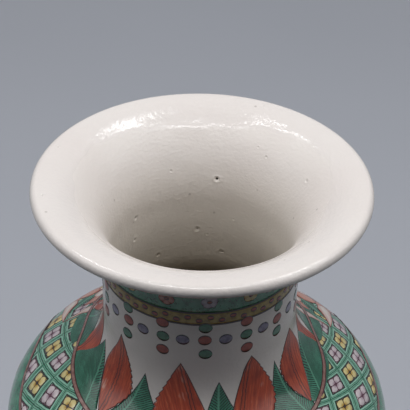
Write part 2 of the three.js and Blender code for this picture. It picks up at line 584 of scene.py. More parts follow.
def patch(bm, place, along, across, layer=under, seed=0.0, cell=None, rib=None):
    """Place gives (angle, way) for shares along and across. Cell gives pattern places.

    Rib gives the share across at which the middle line runs, by the share along.
    """
    layers = bm.loops.layers.uv
    names = ("brush", "rim", "cell") if cell else ("brush", "rim")
    maps = [layers.get(name) or layers.new(name) for name in names]
    spots = np.array([[place(u, v) for v in shares(across)] for u in shares(along)])
    angle, s = spots[..., 0], spots[..., 1]
    a = np.radians(angle)
    r = on_wall(s, "r")
    steps = np.hypot(np.diff(a, axis=1) * r[:, 1:], np.diff(s, axis=1))
    side = np.hstack((np.zeros((along + 1, 1)), np.cumsum(steps, axis=1)))
    steps = np.hypot(np.diff(a, axis=0) * r[1:], np.diff(s, axis=0))
    far = np.vstack((np.zeros((1, across + 1)), np.cumsum(steps, axis=0)))
    width = side[:, -1:]
    edge = np.minimum(side, width - side)
    middle = np.array([[rib(u) if rib else 0.5] for u in shares(along)])
    offset = side - width * middle
    lift = layer + swell * np.minimum(edge / edge_fall, 1) * (layer > ground)
    r = r - on_wall(s, "out_r") * (enamel_relief - lift)
    z = on_wall(s, "z") - on_wall(s, "out_z") * (enamel_relief - lift)
    points = np.stack((r * np.sin(a), -r * np.cos(a), z), axis=-1) * mm
    grid = bmesh.ops.create_grid(bm, x_segments=along, y_segments=across, size=0.5)
    index = {}
    for v in grid["verts"]:
        index[v] = (round((v.co.x + 0.5) * along), round((v.co.y + 0.5) * across))
        v.co = points[index[v]]
    made = {face for v in grid["verts"] for face in v.link_faces}
    for loop in (loop for face in made for loop in face.loops):
        i, j = index[loop.vert]
        loop[maps[0]].uv = (far[i, across // 2], offset[i, j])
        loop[maps[1]].uv = (edge[i, j], seed)
        if cell:
            loop[maps[2]].uv = cell(angle[i, j], s[i, j])
    if faces_inward(points, a, s):
        bmesh.ops.reverse_faces(bm, faces=list(made))


def stroke(bm, spine, half, along, layer=under, seed=0.0, across=4):
    """A patch along a spine of (angle, way), with a half width in mm by the share along."""

    def place(u, v):
        angle, s = spine(u)
        ahead, behind = spine(min(u + 0.01, 1)), spine(max(u - 0.01, 0))
        r = on_wall(s, "r")
        run = radians(ahead[0] - behind[0]) * r
        rise = ahead[1] - behind[1]
        length = hypot(run, rise) or 1
        offset = (v - 0.5) * 2 * half(u)
        return (angle + degrees(offset * rise / length / r), s - offset * run / length)

    patch(bm, place, along, across, layer, seed)


def curve(points):
    """A smooth line through the points, by the share of the way from first to last."""
    knots = np.array(points, float)
    knots = np.vstack((2 * knots[0] - knots[1], knots, 2 * knots[-1] - knots[-2]))
    spans = len(points) - 1

    def at(share):
        i = min(int(share * spans), spans - 1)
        u = share * spans - i
        a, b, c, d = knots[i : i + 4]
        bend = 2 * a - 5 * b + 4 * c - d + u * (3 * (b - c) + d - a)
        return b + 0.5 * u * (c - a + u * bend)

    return at


def beside(centre, x, y):
    """The place x mm to the right of a centre (angle, way) and y mm below it."""
    s = centre[1] + y
    return (centre[0] + degrees(x / on_wall((centre[1] + s) / 2, "r")), s)


def enamel_piece(name, bm, enamel):
    """Closes the patches in bm to thin solid enamel and hands the piece over."""
    bmesh.ops.remove_doubles(bm, verts=bm.verts, dist=2e-6)
    body = finish_piece(name, bm, enamel).modifiers.new("thickness", "SOLIDIFY")
    body.thickness = enamel_thickness * mm
    body.offset = -1


def new_meshes(kinds):
    return {kind: bmesh.new() for kind in kinds}


def enamel_pieces(name, meshes, enamels):
    """One piece for each kind of enamel. Its kind takes the place of {} in the name."""
    for kind, bm in meshes.items():
        enamel_piece(name.format(kind), bm, enamels[kind])


# %% [markdown]
# Overglaze enamels are ground glass with metal oxides, painted on the fired glaze between
# dark outlines and fired again at red heat. Iron red stays thin and satin, and shows the
# brush. The copper green is a thick clear glass over dark lines.


# %% What every enamel shares: its coordinates, its dark lines and its glass
def start_enamel(name, wander=0.9):
    """Millimetres along and across a patch, a little unsteady, and from its edge."""
    made, tree = new_material(name)
    brush = add("UVMap", tree=tree, uv_map="brush").outputs[0]
    rim = add("UVMap", tree=tree, uv_map="rim").outputs[0]
    wobble = add("TexNoise", {"Vector": brush, "Scale": 0.35, "Detail": 2}).outputs[1]
    centred = add("VectorMath", {0: wobble, 1: (0.5, 0.5, 0.5)}, operation="SUBTRACT")
    moved = {0: centred, 1: (wander, wander, 0), 2: brush}
    drawn = add("VectorMath", moved, operation="MULTIPLY_ADD")
    along, across, _ = add("SeparateXYZ", {0: drawn}).outputs
    edge, seed, _ = add("SeparateXYZ", {0: rim}).outputs
    spread = add("CombineXYZ", {0: seed, 1: seed})
    spot = add("VectorMath", {0: brush, 1: spread}, operation="ADD").outputs[0]
    return made, spot, along, across, edge


def end_enamel(shade, lines, line, roughness, relief=None):
    """Lines of one colour over the shade, and the glass of the enamel over both."""
    colour = mixed(lines, shade, line)
    inputs = {"Base Color": colour, "Roughness": roughness, "IOR": 1.55}
    if relief:
        inputs["Normal"] = bump(relief, 0.3, 0.0001)
    add("OutputMaterial", {"Surface": add("BsdfPrincipled", inputs)})


def outline_at(edge, width=0.35, blur=0.25):
    return faded(edge, width, width + blur, 1, 0)


def stretched(place, along, across):
    return add("Mapping", {0: place, 3: (along, across, 1)}).outputs[0]


# %% Iron red leaf, washed on with a soft brush: streaks, pale gaps and a double midrib
made, spot, along, across, edge = start_enamel("iron_red_leaf_enamel")
red_tones = ((0, "#9c361d"), (0.4, "#b44526"), (0.75, "#c65734"), (1, "#d16f4a"))
streaks = noise(stretched(spot, 0.1, 0.9), 1, 4)
wash = noise(spot, 0.1)
shade = ramp(faded(streaks, 0.3, 0.7), red_tones)
shade = mixed(faded(wash, 0.45, 0.3, 0, 0.6), shade, "#7a2617")
pale = maths("MULTIPLY", faded(wash, 0.6, 0.72), faded(streaks, 0.45, 0.6))
shade = mixed(maths("MULTIPLY", pale, 0.75), shade, "#e2c4b6")
side = maths("ABSOLUTE", across)
rib = maths("COMPARE", side, 0.8, 0.22)
hairs = maths("COMPARE", maths("FRACT", maths("MULTIPLY", side, 0.4)), 0.5, 0.05)
hairs = maths("MULTIPLY", hairs, faded(streaks, 0.4, 0.6, 0, 0.55))
end_enamel(shade, either(rib, hairs, outline_at(edge)), "#451a14", 0.32, streaks)
iron_red = (made, "iron_red_enamel")

# %% Green leaf, thick copper glass over dark herringbone veins
made, spot, along, across, edge = start_enamel("green_leaf_enamel", 0.6)
vein_pitch = 1.35
pool = noise(spot, 0.11, 3)
shade = mixed(faded(pool, 0.36, 0.64), "#267054", "#479779")
side = maths("ABSOLUTE", across)
shade = mixed(faded(side, 0.2, 0.8, 0.8, 0), shade, "#64a98d")
slant = maths("MULTIPLY_ADD", side, -0.8, along)
vein = maths("COMPARE", maths("FRACT", maths("DIVIDE", slant, vein_pitch)), 0.5, 0.2)
vein = maths("MULTIPLY", vein, maths("GREATER_THAN", side, 0.45))
vein = maths("MULTIPLY", vein, faded(pool, 0.34, 0.46, 0.7, 1))
end_enamel(shade, either(vein, outline_at(edge)), "#0f2b23", 0.17, pool)
copper_green = (made, "green_enamel")


# %% Plain enamels between outlines, for stems, dots and bands
def plain_enamel(name, slot, light, deep, line, line_width=0.35, roughness=0.16):
    made, spot, _, _, edge = start_enamel(name)
    pool = noise(spot, 0.4, 3)
    shade = mixed(faded(pool, 0.35, 0.65), light, deep)
    end_enamel(shade, outline_at(edge, line_width), line, roughness, pool)
    return made, slot


red, green, aubergine = "iron_red_enamel", "green_enamel", "aubergine_enamel"
yellow, lilac = "yellow_enamel", "lilac_enamel"
stem_enamel = plain_enamel("manganese_brown_enamel", aubergine, "#a9837a", "#86584f", "#43231f")
dot_enamels = {
    "green": ("copper_green_dot_enamel", green, "#3f8265", "#2a6549", "#1d2b26", 0.55),
    "red": ("iron_red_dot_enamel", red, "#a9503f", "#8c3a30", "#38211f", 0.55, 0.3),
    "lilac": ("manganese_lilac_enamel", lilac, "#8d87a3", "#6c6683", "#272733", 0.55),
}
dot_enamels = {hue: plain_enamel(*tones) for hue, tones in dot_enamels.items()}
line_tones = (aubergine, "#3a2a26", "#2a1f1d", "#231917")
dark_line = plain_enamel("dark_outline_enamel", *line_tones, 0.1, 0.3)
mustard = plain_enamel("mustard_enamel", yellow, "#b59a45", "#8d7328", "#3a2f1a", 0.4, 0.2)


# %% Petal enamel, wet colour drawn from the tip into white
def petal_enamel(name, slot, light, deep, line, strength=1.0):
    """The deep colour sits at the petal's tip, and brush lines run along it."""
    made, spot, _, _, edge = start_enamel(name, 0.4)
    hairs = noise(stretched(spot, 0.08, 1.6), 1, 3)
    amount = maths("MULTIPLY", faded(edge, 0, 3.2, 1, 0), faded(hairs, 0.3, 0.65, 0.35, strength))
    shade = mixed(amount, light, deep)
    shade = mixed(faded(hairs, 0.62, 0.66, 0, 0.35), shade, line)
    end_enamel(shade, outline_at(edge, 0.35, 0.2), line, 0.18, hairs)
    return made, slot


petal_kinds = {
    "red": ("iron_red_petal_enamel", red, "#d9a08c", "#a3402a", "#54201a", 1.4),
    "yellow": ("iron_yellow_petal_enamel", yellow, "#e0cc8c", "#c29a3c", "#5a3a1c", 1.1),
    "lilac": ("lilac_petal_enamel", lilac, "#d3c8d0", "#8d7f9c", "#4a3348", 1.2),
    "white": ("white_and_red_petal_enamel", red, "#ece2da", "#c4705c", "#7a2c20"),
}
petal_kinds = {hue: petal_enamel(*tones) for hue, tones in petal_kinds.items()}

# %% [markdown]
# The collar of leaves stands round the foot of the neck. Green leaves come first, and the
# iron red ones overlap them. Sprays of three share a base on the branch below.

# %% Leaves of the collar, as rows of (way, left angle, right angle) from base to tip
random.seed(7)
red_collar = (
    ((34, -46, -44), (27, -52, -39.5), (20, -57.5, -35.5), (14, -60.5, -37.5), (8, -59, -41.5))
    + ((2, -55, -46.5), (-5, -51, -51)),
    ((39, 3, 7), (32, -12, 7), (25, -21, 5.5), (19, -22.5, 3.5), (12, -19.5, -0.5))
    + ((4, -14.5, -5.5), (-2.5, -10, -10)),
    ((39, 10, 15), (32, 14, 30), (26, 16.5, 39.5), (20, 18.5, 43.5), (14, 21.5, 43.5))
    + ((8, 25, 40.5), (2.5, 28, 36.5), (-2.5, 32, 32)),
    ((33.5, 56.5, 57.5), (29, 55, 62), (22, 52, 68.5), (14, 51, 75), (10, 53, 76.5))
    + ((4, 60, 73), (-2, 67, 67)),
    ((30, -90, -82), (26, -93, -76), (20.6, -91, -73), (16, -89, -72), (10, -87.5, -74))
    + ((4, -86, -77), (-3, -82, -82)),
    ((27.5, 95, 97), (25, 90, 98), (21, 86, 98.3), (17, 84, 97.5), (12.5, 83, 96))
    + ((6, 85, 93), (-3, 89, 89)),
)
green_collar = (
    ((36, -60, -46), (33, -74, -47.5), (28.5, -84.5, -51), (23, -81, -55.5), (18, -76.5, -59))
    + ((13, -72.5, -63.5), (8, -69, -69)),
    ((37, -44, -38), (33, -42.5, -25), (28, -40, -18), (22, -37, -21), (15, -34, -26.5))
    + ((8, -31, -31),),
    ((41, 5, 12), (34, 0, 22), (26, 2.5, 21), (18, 6, 17.5), (12, 9, 14.5), (7.5, 12, 12)),
    ((37, 46, 57), (33, 35, 57.5), (27, 36, 54), (20, 41, 52), (14, 45, 51), (7, 49, 49)),
    ((35, 58, 70), (33, 57, 84), (28, 62, 93), (24, 66, 94), (19, 70, 91.5))
    + ((14, 76, 88.5), (9, 83, 83)),
)
teeth, bite = 15, 0.055
notched_sides = (1, -1, 1, -1, 0, 0)  # of the red leaves: 1 right, -1 left, 0 neither
repeated_red = 4  # the first four red leaves also stand on the back, opposite themselves


def leaf(bm, rows, turned_by, layer, notched=0):
    line = curve(rows)
    first_s, base_left, base_right = rows[0]
    last_s, tip, _ = rows[-1]
    base = (base_left + base_right) / 2

    def place(u, v):
        s, left, right = line(u)
        notch = bite * ((u * teeth) % 1) if 0.15 < u < 0.8 else 0
        if notched > 0:
            right -= (right - left) * notch
        elif notched < 0:
            left += (right - left) * notch
        return (left + (right - left) * v + turned_by, s)

    def rib(u):
        s, left, right = line(u)
        straight = base + (tip - base) * (s - first_s) / (last_s - first_s)
        return min(max((straight - left) / max(right - left, 0.01), 0.2), 0.8)

    patch(bm, place, 60, 18, layer, random.random() * 60, rib=rib)


bm = bmesh.new()
for rows in green_collar:
    for turned_by in (0, 180):
        leaf(bm, rows, turned_by, under + 0.02)
enamel_piece("green_collar_leaves", bm, copper_green)
bm = bmesh.new()
for i, (rows, notched) in enumerate(zip(red_collar, notched_sides)):
    repeated = i < repeated_red
    for turned_by in (0, 180) if repeated else (0,):
        leaf(bm, rows, turned_by, over if repeated else under, notched)
enamel_piece("red_collar_leaves", bm, iron_red)

# %% [markdown]
# Jewel dots hang under the border, in columns of three with a lilac one between.

# %% Dots
dot_width = 6.1
dot_height = 5.6
column_gap = 24.3
front_column = 3.3
columns = 14
half_front = 3  # so many columns to either side of the front one stand at the front's gap
back_gap = (360 - 2 * half_front * column_gap) / (columns - 2 * half_front)


def column_angle(k):
    inner = max(-half_front, min(half_front, k))
    return front_column + inner * column_gap + (k - inner) * back_gap


def disc(bm, centre, wide, high, layer, seed, steps=10, across=4):
    """A round or oval patch, wide and high in mm."""

    def spine(u):
        return beside(centre, -wide / 2 * cos(u * pi), 0)

    stroke(bm, spine, lambda u: high / 2 * sin(u * pi), steps, layer, seed, across)


dots = new_meshes(dot_enamels)
for k in range(-6, 8):
    angle = column_angle(k)
    for row, s in enumerate((-22.9, -16.0, -8.6)):
        hue = "green" if (k + row) % 2 == 0 else "red"
        spot = (angle + random.uniform(-1, 1), s + random.uniform(-0.4, 0.4))
        disc(dots[hue], spot, dot_width, dot_height, under, k)
    middle = (angle + column_angle(k + 1)) / 2 + random.uniform(-0.6, 0.6)
    disc(dots["lilac"], (middle, -15.8), dot_width, dot_height, under, k)
enamel_pieces("{}_dots", dots, dot_enamels)

# %% [markdown]
# Below the collar a branch carries the sprays, and a trellis hangs from it down to a ring.
# The trellis is drawn by hand, so its left and right halves lean their own way. Each half
# is a lattice over the angle and the wall's turn measure, which keeps squares square.

# %% The branch and the ring as smooth lines round the vase
branch_points = ((-180, 41), (-140, 37), (-118, 30), (-98, 26), (-80, 30.5), (-52, 36.5))
branch_points += ((0, 42), (55, 37), (80, 31), (105, 26), (122, 30), (145, 37), (180, 41))
ring_points = ((-180, 77), (-130, 68), (-112, 57), (-98, 55.5), (-76, 64.5), (-40, 73))
ring_points += ((0, 77), (45, 74), (82, 67), (102, 58), (118, 58), (140, 68), (180, 77))


def round_way(points):
    """Way against angle, smooth all the way round."""
    angles, ways = np.array(points, float).T
    slopes = np.gradient(ways, angles)
    slopes[0] = slopes[-1] = 0

    def at(angle):
        a = (angle + 180) % 360 - 180
        i = int(np.clip(np.searchsorted(angles, a) - 1, 0, len(angles) - 2))
        gap = angles[i + 1] - angles[i]
        u = (a - angles[i]) / gap
        rise = ways[i] + (3 * u**2 - 2 * u**3) * (ways[i + 1] - ways[i])
        lean = (u**3 - 2 * u**2 + u) * slopes[i] + (u**3 - u**2) * slopes[i + 1]
        return rise + lean * gap

    return at


branch_way = round_way(branch_points)
ring_way = round_way(ring_points)


def level_at(line, angle):
    """A line round the vase is one way, or a function that gives the way by the angle."""
    return line(angle) if callable(line) else line


def round_lines(name, lines, enamel, layer=under):
    """Lines all the way round, as (line, half width). Their ends meet behind the vase."""
    bm = bmesh.new()
    for line, half in lines:

        def spine(u):
            return (360 * u - 180, level_at(line, 360 * u - 180))

        stroke(bm, spine, lambda u: half, 240, layer)
    enamel_piece(name, bm, enamel)


round_lines("branch_and_ring", ((branch_way, 1.15), (ring_way, 1.3)), stem_enamel, top)

# %% Trellis enamel: pale, mid and deep green bands between dark lines
cell_half = 0.33  # a cell's half width, as a share of the lattice's step
trellis_green, tree = new_material("trellis_green_enamel")
place = add("UVMap", tree=tree, uv_map="cell").outputs[0]
shaken = maths("MULTIPLY_ADD", noise(place, 5), 0.05, 0.475)
reach = []
for part in add("SeparateXYZ", {0: place}).outputs[:2]:
    there = maths("FRACT", maths("ADD", part, shaken))
    reach.append(maths("ABSOLUTE", maths("SUBTRACT", there, 0.5)))
from_cell = either(*reach)
pool = noise(place, 2.2, 3)
amount = faded(pool, 0.35, 0.65)
pale_green = mixed(amount, "#a9d6c2", "#86c2a8")
mid_green = mixed(amount, "#4c9f7d", "#86c0a6")
colour = mixed(maths("GREATER_THAN", from_cell, 0.445), pale_green, mid_green)
places = ((cell_half + 0.015, 0.02), (0.435, 0.009), (0.5, 0.016))
lines = [maths("COMPARE", from_cell, where, thickness) for where, thickness in places]
end_enamel(colour, either(*lines), "#133f30", 0.15, pool)


# %% Floret enamel: four petals between dark lines, deeper at the heart
def length_of(x, y):
    return maths("SQRT", maths("ADD", maths("POWER", x, 2), maths("POWER", y, 2)))


def floret_enamel(name, slot, light, heart, gap, line):
    made, tree = new_material(name)
    place = add("UVMap", tree=tree, uv_map="cell").outputs[0]
    unsteady = add("TexNoise", {"Vector": place, "Scale": 9, "Detail": 1}).outputs[1]
    moved = {0: unsteady, 1: (0.05, 0.05, 0), 2: place}
    drawn = add("VectorMath", moved, operation="MULTIPLY_ADD").outputs[0]
    x, y = (
        maths("DIVIDE", maths("ABSOLUTE", maths("SUBTRACT", part, 0.025)), cell_half)
        for part in add("SeparateXYZ", {0: drawn}).outputs[:2]
    )
    from_petal = length_of(maths("SUBTRACT", x, 0.46), maths("SUBTRACT", y, 0.46))
    colour = mixed(faded(length_of(x, y), 0.25, 0.6), heart, light)
    colour = mixed(maths("GREATER_THAN", from_petal, 0.5), colour, gap)
    lines = [maths("COMPARE", from_petal, 0.5, 0.045)]
    for part in (x, y):
        lines += [maths("LESS_THAN", part, 0.06), maths("GREATER_THAN", part, 0.9)]
    end_enamel(colour, either(*lines), line, 0.16)
    return made, slot


floret_enamels = {
    "yellow": ("iron_yellow_floret_enamel", yellow, "#e8d796", "#c39a3a", "#d9c78e", "#3b2b22"),
    "lilac": ("manganese_lilac_floret_enamel", lilac, "#dccfd3", "#b196a4", "#e6dcda", "#5a3140"),
}
floret_enamels = {hue: floret_enamel(*tones) for hue, tones in floret_enamels.items()}

# %% The trellis in four parts, with its cells
lattices = {  # first cell's centre, step along, step across, angles from and to
    "left": ((-1.63350, 0.79952), (0.17528, -0.06208), (0.08689, 0.19025), -122, 3.5),
    "right": ((1.28656, 0.75720), (0.19150, 0.08787), (0.11681, -0.12280), 3.5, 122),
}
back_reach = 58  # at the back, this far to either side of the middle


def trellis(name, side, turned_by, first, last):
    """One stretch of trellis from angle first to angle last, turned round the vase."""
    origin, step, cross = (np.array(pair) for pair in lattices[side][:3])
    basis = np.linalg.inv(np.array((step, cross)).T)

    def lattice_place(angle, s):
        turn = np.array((radians(angle - turned_by), np.interp(s, way, turn_table)))
        return basis @ (turn - origin)

    def band_place(u, v):
        angle = first + (last - first) * u + turned_by
        high, low = branch_way(angle), ring_way(angle)
        return (angle, high + (low - high) * v)

    bm = bmesh.new()
    patch(bm, band_place, round((last - first) / 1.6), 18, ground, cell=lattice_place)
    enamel_piece(name + "_bands", bm, (trellis_green, green))
    cells = new_meshes(floret_enamels)
    for i, j in itertools.product(range(-14, 15), repeat=2):
        centre = origin + i * step + j * cross
        beyond = not first + 1 < degrees(centre[0]) < last - 1
        if beyond or not 0.3 < centre[1] < 1.6:
            continue

        def cell_spot(u, v):
            spot = centre + 2 * cell_half * ((u - 0.5) * step + (v - 0.5) * cross)
            angle = degrees(spot[0]) + turned_by
            s = np.interp(spot[1], turn_table, way)
            return (angle, np.clip(s, branch_way(angle) + 0.8, ring_way(angle) - 0.9))

        corners = [cell_spot(u, v)[1] for u in (0, 1) for v in (0, 1)]
        if max(corners) - min(corners) < 1.5:
            continue

        def inside_cell(angle, s):
            return lattice_place(angle, s) - (i, j)

        hue = "yellow" if (i + j) % 2 == (side == "right") else "lilac"
        patch(cells[hue], cell_spot, 4, 4, ground + 0.01, i + 9 * j, cell=inside_cell)
    enamel_pieces(name + "_{}_florets", cells, floret_enamels)


for side in lattices:
    first, last = lattices[side][3:]
    trellis("trellis_front_" + side, side, 0, first, last)
    trellis("trellis_back_" + side, side, 180, max(first, -back_reach), min(last, back_reach))

# %% [markdown]
# Under the lip and round the shoulder run green borders, seeded with small dark curls and
# sown with blossoms. The upper one ends in a mustard band with brown beads.

# %% Seeded green: copper green over fine dark curls, as a filler between blossoms
made, spot, along, across, edge = start_enamel("seeded_green_enamel", 0.3)
pool = noise(spot, 0.15, 3)
shade = mixed(faded(pool, 0.35, 0.65), "#2c7d5c", "#5aa685")
curls = add("TexVoronoi", {"Vector": spot, "Scale": 0.62}).outputs["Distance"]
curl = maths("MULTIPLY", maths("COMPARE", curls, 0.3, 0.07), faded(noise(spot, 1.7, 1), 0.42, 0.5))
lines = either(curl, maths("LESS_THAN", curls, 0.1), outline_at(edge, 0.3, 0.2))
end_enamel(shade, lines, "#14352a", 0.15, pool)
seeded_green = (made, green)


# %% Bands round the vase
def bands(name, edges, enamel):
    """Bands all the way round, as (upper line, lower line, steps across)."""
    bm = bmesh.new()
    for upper, lower, across in edges:

        def place(u, v):
            angle = 360 * u - 180
            high, low = level_at(upper, angle), level_at(lower, angle)
            return (angle, high + (low - high) * v)

        patch(bm, place, 200, across, ground)
    enamel_piece(name, bm, enamel)


lip_way = way[0]
seeded_end = -31
border_end = -24.6
shoulder_end = 93.5
borders = ((lip_way + 3.4, seeded_end, 26), (ring_way, shoulder_end, 30))
bands("seeded_green_borders", borders, seeded_green)
bands("mustard_border", ((seeded_end, border_end, 5),), mustard)
border_lines = ((lip_way + 3.2, 0.45), (seeded_end, 0.35), (border_end, 0.4))
border_lines += ((shoulder_end, 0.5), (shoulder_end + 2.2, 0.35))
round_lines("dark_lines", border_lines, dark_line)
bm = bmesh.new()
beads = 56
for k in range(beads):
    centre = (360 * k / beads, (seeded_end + border_end) / 2 + 0.8 * (-1) ** k)
    disc(bm, centre, 3.1, 2.6, under, k, 8)
enamel_piece("brown_beads", bm, dot_enamels["red"])


# %% Petals and small blossoms, sown on the borders
def petal(bm, centre, heading, start, length, wide, layer, seed, point=0.5, steps=10):
    """A petal from a flower's heart outward. Heading is in degrees, clockwise from up."""
    turn = radians(heading)

    def spine(u):
        reach = start + (length - start) * u
        return beside(centre, reach * sin(turn), -reach * cos(turn))

    def half(u):
        return wide / 2 * min(1, (u * 3.2 + 0.3)) * max(1 - u**3, 0) ** point

    stroke(bm, spine, half, steps, layer, seed)


def small_blossom(petals, hearts, centre, radius, layer=under):
    """Five round petals in a ring about a heart."""
    count = 5
    first = random.uniform(0, 360 / count)
    wide = 2.3 * radius * sin(pi / count)
    for k in range(count):
        heading = first + 360 * k / count
        petal(petals, centre, heading, radius * 0.2, radius, wide, layer, k, steps=6)
    disc(hearts, centre, radius * 0.6, radius * 0.6, over, 1, 8)


hues = ("red", "yellow", "lilac", "yellow")
sown = new_meshes(("red", "yellow", "lilac"))
hearts = bmesh.new()
border_rows = ((lip_way + 11, 12, 4.6), (lip_way + 22, 12, 4.2), (seeded_end - 6.5, 15, 3.8))
for row, (s, count, radius) in enumerate(border_rows):
    for k in range(count):
        angle = 360 * (k + 0.5 * (row % 2)) / count + 5.5
        small_blossom(sown[hues[(k + row) % 4]], hearts, (angle, s), radius)
for k in range(16):
    angle = 360 * (k + 0.5) / 16
    s = (ring_way(angle) + shoulder_end) / 2 + 1
    small_blossom(sown[hues[k % 4]], hearts, (angle, s), 4.6)
enamel_pieces("sown_blossoms_{}", sown, petal_kinds)
enamel_piece("sown_blossom_hearts", hearts, dot_enamels["red"])

# %% [markdown]
# On the branch stand large blossoms with pointed white petals, their edges drawn in iron
# red. Two stand behind the shoulder's sides and one in front, where the trellis halves meet.

# %% Large blossoms, petal by petal, with places as (angle from the blossom, way)
long_petals = (  # kind and two edges, for one half of the blossom; the other half mirrors it
    ("white", ((-12, 51), (-16, 50.5), (-19.5, 47.5), (-23.5, 44.3), (-29.3, 39)),
     ((-12, 45), (-15, 42), (-19.2, 41.2), (-25, 39.8), (-29.3, 38.9))),
    ("white", ((-13, 22), (-17.5, 27), (-20.5, 30.8), (-24.7, 33.8), (-29, 38.5)),
     ((-19, 20), (-24.5, 26), (-25, 30), (-27, 34.2), (-29.2, 38.7))),
    ("green", ((-3, 53), (-8, 56), (-13, 54), (-18, 49)),
     ((-3, 47), (-8, 50), (-13, 50.5), (-18, 48.5))),
    ("red", ((-3, 49), (-8, 51), (-13, 49.5), (-18, 46)),
     ((-3, 44), (-8, 45), (-13, 45), (-18, 45.5))),
    ("green", ((-6, 34), (-13, 34.5), (-18, 36.5), (-22.5, 39.7)),
     ((-6, 42), (-13, 42), (-18, 41.2), (-22.5, 40))),
    ("red", ((-3, 50), (-8, 57.5), (-13, 57), (-16, 51.5)),
     ((-3, 44), (-8, 46), (-12, 48), (-16, 51))),
    ("red", ((-4, 30), (-10, 27), (-15, 29), (-18.5, 34)),
     ((-4, 36), (-9, 35), (-14, 34.5), (-18.5, 34.4))),
)
round_petals = (  # kind, angle, way, wide, high
    (("red", -7, 52, 11, 10), ("white", -5, 33, 12, 11), ("red", 0, 57, 12, 10))
    + (("red", -6, 44, 12, 12), ("white", 0, 50, 13, 12), ("red", 0, 34, 10, 11))
    + (("white", 0, 42, 11, 11),)
)
heart_way = 42  # the way of the blossom's middle in both lists
flower_meshes = new_meshes(("white", "green", "red", "heart"))


def large_blossom(angle, lower, scale=1.0):
    """Angle is the blossom's middle, lower moves it down the wall."""

    def moved(x, s):
        return (angle + scale * x, heart_way + lower + (s - heart_way) * scale)

    for kind, first, second in long_petals:
        for sign in (1, -1):
            one, two = (curve([moved(sign * x, s) for x, s in side]) for side in (first, second))

            def place(u, v):
                return one(u) * (1 - v) + two(u) * v

            layer = over if kind == "white" else over - 0.03
            patch(flower_meshes[kind], place, 30, 10, layer, random.random() * 30)
    for step, (kind, x, s, wide, high) in enumerate(round_petals):
        for sign in (1, -1) if x else (1,):
            size = (wide * scale, high * scale)
            layer = over + 0.02 * (step % 4) - 0.03
            disc(flower_meshes[kind], moved(sign * x, s), *size, layer, step, 16, 6)
    disc(flower_meshes["heart"], moved(0, heart_way), 5 * scale, 5 * scale, top, 3)


large_blossom(139, 1)
large_blossom(-139, 4)
large_blossom(3.5, 14, 0.9)
enamel_piece("blossom_white_petals", flower_meshes["white"], petal_kinds["white"])
enamel_piece("blossom_green_leaves", flower_meshes["green"], copper_green)
enamel_piece("blossom_red_petals", flower_meshes["red"], petal_kinds["red"])
enamel_piece("blossom_hearts", flower_meshes["heart"], petal_kinds["yellow"])

# %% [markdown]
# The body is hidden from the camera. It carries a pattern common on vases of this form: on
# white, flowering stems climb from the foot to the shoulder, four times round, each the
# mirror of the last. Below them run a seeded border and a row of upright pointed leaves.

# %% Stems that climb the body, in mm to the right of a repeat's middle and below its top
repeats = 4
field_top = shoulder_end + 4
stem_points = ((-16, 232), (13, 198), (-13, 158), (15, 117), (-12, 77), (9, 42), (-8, 14))
stem_foot, stem_top = 236, 14
scroll_flowers = (  # kind, right, below, radius
    (("red", 28, 60, 20), ("yellow", -31, 104, 19), ("lilac", 31, 152, 20))
    + (("white", -30, 197, 18), ("white", -38, 46, 10), ("red", 58, 102, 11))
    + (("lilac", -58, 148, 10), ("yellow", 38, 208, 11), ("yellow", 6, 17, 9))
    + (("red", -60, 72, 8), ("lilac", 58, 22, 9), ("white", 61, 190, 8))
    + (("yellow", -60, 18, 9), ("red", -61, 224, 8))
)
inner_kinds = {"red": "white", "yellow": "red", "lilac": "white", "white": "red"}
body_enamels = {
    "stem": stem_enamel,
    "green": copper_green,
    "leaf": iron_red,
    **petal_kinds,
    "heart": petal_kinds["yellow"],
}
scroll = new_meshes(body_enamels)


def peony(kind, centre, radius):
    """Rings of petals, each over the last, with one more colour in the middle ring."""
    rings = ((8, 0.3, 1.0, kind), (6, 0.15, 0.72, inner_kinds[kind]), (5, 0, 0.45, kind))
    for row, (count, start, reach, tone) in enumerate(rings):
        first = random.uniform(0, 360 / count)
        wide = 2.4 * radius * reach * sin(pi / count)
        for k in range(count):
            heading = first + 360 * k / count
            layer = under + 0.035 * row + 0.008 * (k % 2)
            size = (start * radius, reach * radius * random.uniform(0.92, 1.0))
            petal(scroll[tone], centre, heading, *size, wide, layer, 7 * k + row, 0.4)
    disc(scroll["heart"], centre, radius * 0.3, radius * 0.3, top, 2, 8)


